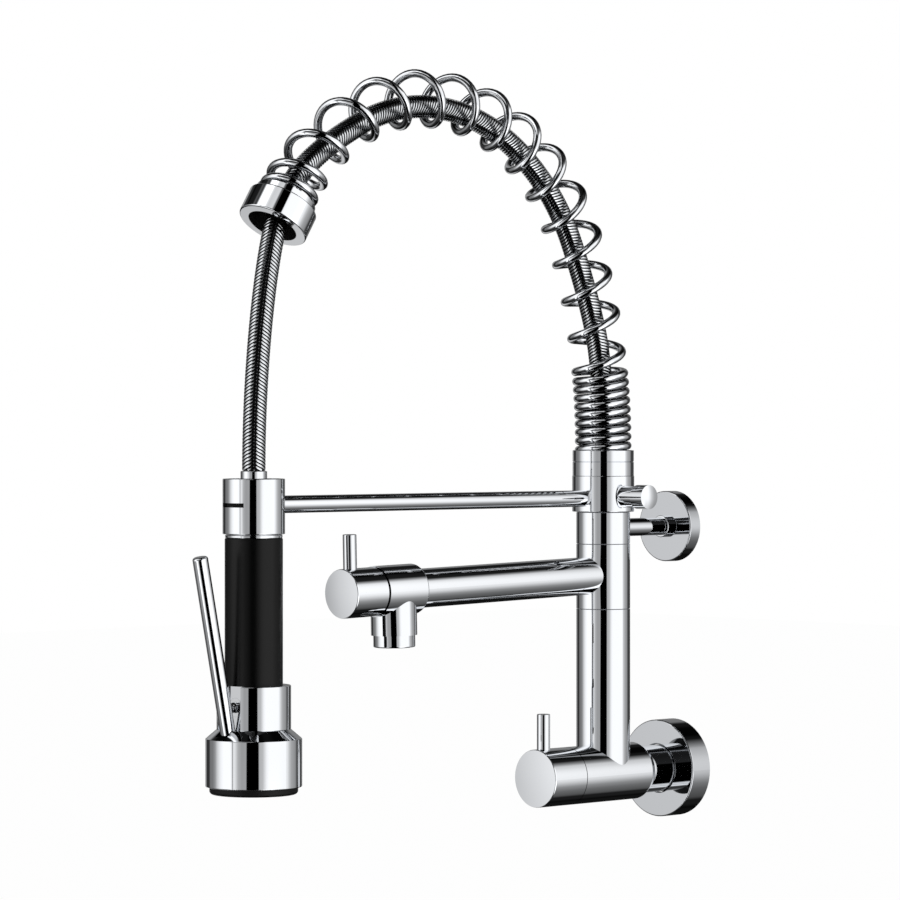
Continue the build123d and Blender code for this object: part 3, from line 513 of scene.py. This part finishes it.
def braidedHose(name, start, end):
    step = hose["lead"] / (4 * hose["strands"])
    first = math.ceil(start / step)
    last = math.floor(end / step)
    radius = hose["diameter"] / 2
    slope = math.atan2(2 * math.pi * radius, hose["lead"])  # between a strand and the hose's axis
    half = hose["strandWidth"] / 2
    slip = half * math.sin(slope)
    points, faces, marks, uvs, weave = [], [], [], [], []
    for way in (1, -1):
        turn = way * half * math.cos(slope) / radius
        for strand in range(hose["strands"]):
            base = len(points)
            for k in range(first, last + 1):
                s = k * step
                angle = 2 * math.pi * (strand / hose["strands"] + way * s / hose["lead"])
                over = min(max(-way * hose["steep"] * math.cos(2 * angle), -1), 1)  # floats in four columns
                top = radius - hose["lift"] * (1 - over)
                edge = top - hose["crown"]
                points.append(hoseSpot(min(max(s - slip, start), end), angle + turn, edge))
                points.append(hoseSpot(s, angle, top))
                points.append(hoseSpot(min(max(s + slip, start), end), angle - turn, edge))
                uvs += [(0.0, s), (0.5, s), (1.0, s)]
                weave += [((1 + over) / 2, 0.0)] * 3
            for k in range(last - first):
                ring = base + 3 * k
                for i, j in ((0, 1), (1, 2), (2, 0)):
                    faces.append((ring + i, ring + j, ring + 3 + j, ring + 3 + i))
                    marks.append(0)
            final = base + 3 * (last - first)
            faces += [(base, base + 2, base + 1), (final, final + 1, final + 2)]
            marks += [0, 0]
    base = len(points)
    sides = hose["linerSides"]
    rings = max(2, round((end - start) / hose["linerStep"]))
    for k in range(rings + 1):
        s = start + (end - start) * k / rings
        for i in range(sides):
            points.append(hoseSpot(s, 2 * math.pi * i / sides, hose["liner"]))
            uvs.append((i / sides, s))
            weave.append((0.0, 0.0))
    for k in range(rings):
        for i in range(sides):
            j = (i + 1) % sides
            ring = base + k * sides
            faces.append((ring + i, ring + j, ring + sides + j, ring + sides + i))
            marks.append(1)
    final = base + rings * sides
    faces += [tuple(base + i for i in reversed(range(sides))), tuple(final + i for i in range(sides))]
    marks += [1, 1]
    mesh = bpy.data.meshes.new(name)
    mesh.from_pydata(points, [], faces)
    for title, places in (("wireMap", uvs), ("weaveMap", weave)):
        layer = mesh.uv_layers.new(name=title)
        for loop in mesh.loops:
            layer.data[loop.index].uv = places[loop.vertex_index]
    mesh.materials.append(braid)
    mesh.materials.append(rubber)
    for face, mark in zip(mesh.polygons, marks):
        face.material_index = mark
        face.use_smooth = True
    piece = addPiece(name, mesh)
    selectOnly(piece)
    bpy.ops.object.mode_set(mode="EDIT")
    bpy.ops.mesh.select_all(action="SELECT")
    bpy.ops.mesh.normals_make_consistent(inside=False)
    bpy.ops.object.mode_set(mode="OBJECT")
    bpy.ops.object.shade_smooth_by_angle(angle=math.radians(hose["crease"]))
    return piece


dropPoint = routeSpot(*hose["dropFrom"])
dropStart = min(zip(reach, line), key=lambda pair: (pair[1] - dropPoint).length)[0]
keep(braidedHose("archHose", 0.0, dropStart), "dock_arm", "hose_arch")

dropHose = braidedHose("dropHose", dropStart, reach[-1])
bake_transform(dropHose)
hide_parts("hose_drop")
print("hose braided:", round(reach[-1], 4), "m, free", round(reach[-1] - dropStart, 4), "m")

# Return spring behind the plunger: thin wire between the chamber's wall and the plunger's head, wound here at
# one fixed length
coil = {"wire": 0.0007, "radius": 0.00295, "turns": 5, "far": -0.341715, "near": -0.35175,
        "height": 0.0548, "perTurn": 24}


def makeReturnSpring():
    count = coil["turns"] * coil["perTurn"]
    points = []
    for i in range(count + 1):
        turn = 2 * math.pi * i / coil["perTurn"]
        along = coil["far"] + (coil["near"] - coil["far"]) * i / count
        points.append(Vector((coil["radius"] * math.cos(turn), along,
                              coil["height"] + coil["radius"] * math.sin(turn))))
    piece = wireCurve("returnSpring", points, coil["wire"] / 2, steel)
    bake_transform(piece)
    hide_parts("plunger_spring")


makeReturnSpring()
print("return spring wound")

# Studio: a white ground behind the faucet and soft boxes that the metal reflects. Each row gives degrees and
# brightness: "around" by the compass, seen from the camera's side, and the others by the height above level
studio = {"facing": 46.0, "fill": 0.75, "flag": (11.0, 13.0), "flagWiden": (0.325, -0.225), "flagLean": 0.25,
          "blends": [("frontRight", -3, 3), ("left", -54, -63), ("leftRear", -80, -88),
                     ("leftFar", -98, -106), ("right", 62, 80), ("backLeft", -140, -152),
                     ("backRight", 140, 152)],
          "around": [(-180, 0.15), (-170, 0.25), (-160, 0.4), (-154, 0.4), (-148, 0.04), (-130, 0.04),
                     (-124, 0.22), (-112, 0.24), (-102, 0.4), (-94, 0.8), (-84, 1.15), (-74, 1.32),
                     (-55, 1.32), (-51, 1.1), (-49, 0.15), (-47, 1.1), (-42, 0.95), (-35, 0.55),
                     (-26, 0.42), (-10, 0.45), (10, 0.5), (24, 0.65), (34, 1.2), (40, 1.32), (85, 1.32),
                     (90, 1.1), (96, 0.75), (104, 0.5), (120, 0.35), (128, 0.06), (150, 0.06), (158, 0.25)],
          "front": [(-90, 0.03), (-58, 0.05), (-48, 1.2), (-38, 1.7), (-12, 1.6), (-5, 1.0), (7, 1.0),
                    (12, 0.08), (43, 0.04), (47, 1.9), (58, 1.9), (64, 0.2), (72, 0.03)],
          "frontRight": [(-90, 0.03), (-58, 0.05), (-48, 1.2), (-38, 1.7), (-12, 1.6), (-5, 1.0), (34, 1.0),
                         (42, 0.4), (50, 0.2), (60, 0.03)],
          "left": [(-90, 0.03), (-50, 0.03), (-32, 0.06), (-22, 0.2), (-14, 0.75), (-6, 1.0), (30, 1.2),
                   (54, 1.2), (64, 0.3), (75, 0.03)],
          "leftRear": [(-90, 0.03), (-34, 0.06), (-20, 0.3), (-10, 0.9), (-4, 1.0), (30, 1.2), (42, 1.0),
                       (48, 0.08), (90, 0.03)],
          "leftFar": [(-90, 0.03), (-34, 0.06), (-20, 0.3), (-10, 0.9), (-4, 1.0), (24, 1.1), (31, 0.06),
                      (90, 0.03)],
          "right": [(-90, 0.03), (-50, 0.05), (-42, 0.3), (-25, 0.45), (-12, 0.8), (-4, 1.0), (30, 1.2),
                    (36, 0.5), (40, 0.03)],
          "backLeft": [(-90, 0.05), (-60, 0.6), (-46, 1.8), (-18, 1.8), (-10, 1.0), (30, 1.0), (45, 0.3),
                       (60, 0.04)],
          "backRight": [(-90, 0.03), (-15, 0.03), (-5, 0.7), (5, 1.0), (26, 1.0), (32, 0.05), (90, 0.03)]}
rampShare = 0.5  # brightness is halved in a ramp, so that a bright box still fits it


def greyRamp(tree, stops, limit, value):
    spread = remap(tree, value, -limit, limit)
    ramp = addNode(tree, "ShaderNodeValToRGB", {"Fac": spread})
    marks = ramp.color_ramp.elements
    while len(marks) > 1:
        marks.remove(marks[-1])
    for i, (place, level) in enumerate(stops):
        mark = marks[0] if i == 0 else marks.new((place + limit) / (2 * limit))
        mark.position = (place + limit) / (2 * limit)
        mark.color = (level * rampShare, level * rampShare, level * rampShare, 1)
    return ramp.outputs["Color"]


def makeStudio():
    world = bpy.data.worlds.new("softBoxStudio")
    bpy.context.scene.world = world
    world.use_nodes = True
    tree = world.node_tree
    tree.nodes.clear()
    way = addNode(tree, "ShaderNodeTexCoord").outputs["Generated"]

    def partAlong(direction):
        return addNode(tree, "ShaderNodeVectorMath", {0: way, 1: direction},
                       operation="DOT_PRODUCT").outputs["Value"]

    facing = math.radians(studio["facing"])
    ahead = partAlong((math.sin(facing), -math.cos(facing), 0))
    beside = partAlong((math.cos(facing), math.sin(facing), 0))
    above = partAlong((0, 0, 1))
    around = combine(tree, "DEGREES", combine(tree, "ARCTAN2", beside, ahead))
    height = combine(tree, "DEGREES", combine(tree, "ARCSINE", above))
    ring = greyRamp(tree, studio["around"], 180, around)
    rise = greyRamp(tree, studio["front"], 90, height)
    for name, start, end in studio["blends"]:
        share = remap(tree, around, start, end)
        rise = mixColours(tree, share, rise, greyRamp(tree, studio[name], 90, height))
    boxes = mixColours(tree, 1.0, ring, rise, blend_type="MULTIPLY")
    # A black flag by the camera, leaning above level and widening with the height
    tilted = combine(tree, "ABSOLUTE", height)
    lean = combine(tree, "MULTIPLY_ADD", combine(tree, "ADD", tilted, height), -studio["flagLean"], around)
    spread = combine(tree, "ABSOLUTE", lean)
    for share, source in zip(studio["flagWiden"], (tilted, height)):
        spread = combine(tree, "MULTIPLY_ADD", source, -share, spread)
    flag = remap(tree, spread, *studio["flag"], most=1 / rampShare ** 2)
    bright = addNode(tree, "ShaderNodeVectorMath", {0: boxes, 3: flag}, operation="SCALE").outputs["Vector"]
    path = addNode(tree, "ShaderNodeLightPath")
    soft = mixColours(tree, path.outputs["Is Diffuse Ray"], bright, (studio["fill"],) * 3 + (1,))
    seen = mixColours(tree, path.outputs["Is Camera Ray"], soft, (1, 1, 1, 1))
    ground = addNode(tree, "ShaderNodeBackground", {"Color": seen, "Strength": 1.0})
    addNode(tree, "ShaderNodeOutputWorld", {"Surface": ground.outputs["Background"]})


makeStudio()

# Floor: pale and plain, well below the faucet, and nearly as white as the ground to the camera
ground = {"height": -0.9, "size": 30, "colour": "#f2f2f0", "roughness": 0.9, "white": 0.97}


def makeFloor():
    selectOnly(dropHose)
    bpy.ops.mesh.primitive_plane_add(size=ground["size"], location=(0, 0, ground["height"]))
    floor = bpy.context.object
    floor.name = "studioFloor"
    floor.visible_glossy = False
    material, tree, shader = startMaterial("paleFloor", ground["colour"], 0.0, ground["roughness"])
    white = addNode(tree, "ShaderNodeEmission", {"Color": (1, 1, 1, 1), "Strength": 1.0})
    path = addNode(tree, "ShaderNodeLightPath")
    share = combine(tree, "MULTIPLY", path.outputs["Is Camera Ray"], ground["white"])
    mix = addNode(tree, "ShaderNodeMixShader",
                  {0: share, 1: shader.outputs["BSDF"], 2: white.outputs["Emission"]})
    tree.links.new(mix.outputs["Shader"], tree.nodes["Material Output"].inputs["Surface"])
    floor.data.materials.append(material)


makeFloor()

# Lamp: a soft disc above the camera's right, which the metal doesn't show
disc = {"place": (0.9, -1.3, 1.5), "aim": (0, -0.2, 0.2), "size": 1.2, "watts": 6.0}
bpy.ops.object.light_add(type="AREA", location=disc["place"])
lamp = bpy.context.object
lamp.name = "topSoftLamp"
lamp.data.shape = "DISK"
lamp.data.size = disc["size"]
lamp.data.energy = disc["watts"]
lamp.visible_glossy = False
lamp.rotation_euler = (Vector(disc["aim"]) - lamp.location).to_track_quat("-Z", "Y").to_euler()

# Camera: far off with a long lens, level, a little above the valve
view = {"place": (1.6969, -1.8331, 0.216), "turn": 46.0, "lens": 160.0, "sensor": 36.0, "shiftY": -0.0333,
        "farClip": 100}
bpy.ops.object.camera_add(location=view["place"], rotation=(math.radians(90), 0, math.radians(view["turn"])))
camera = bpy.context.object
camera.data.lens = view["lens"]
camera.data.sensor_width = view["sensor"]
camera.data.shift_y = view["shiftY"]
camera.data.clip_end = view["farClip"]
bpy.context.scene.camera = camera
bpy.context.scene.view_settings.view_transform = "Standard"
print("stage and camera set")
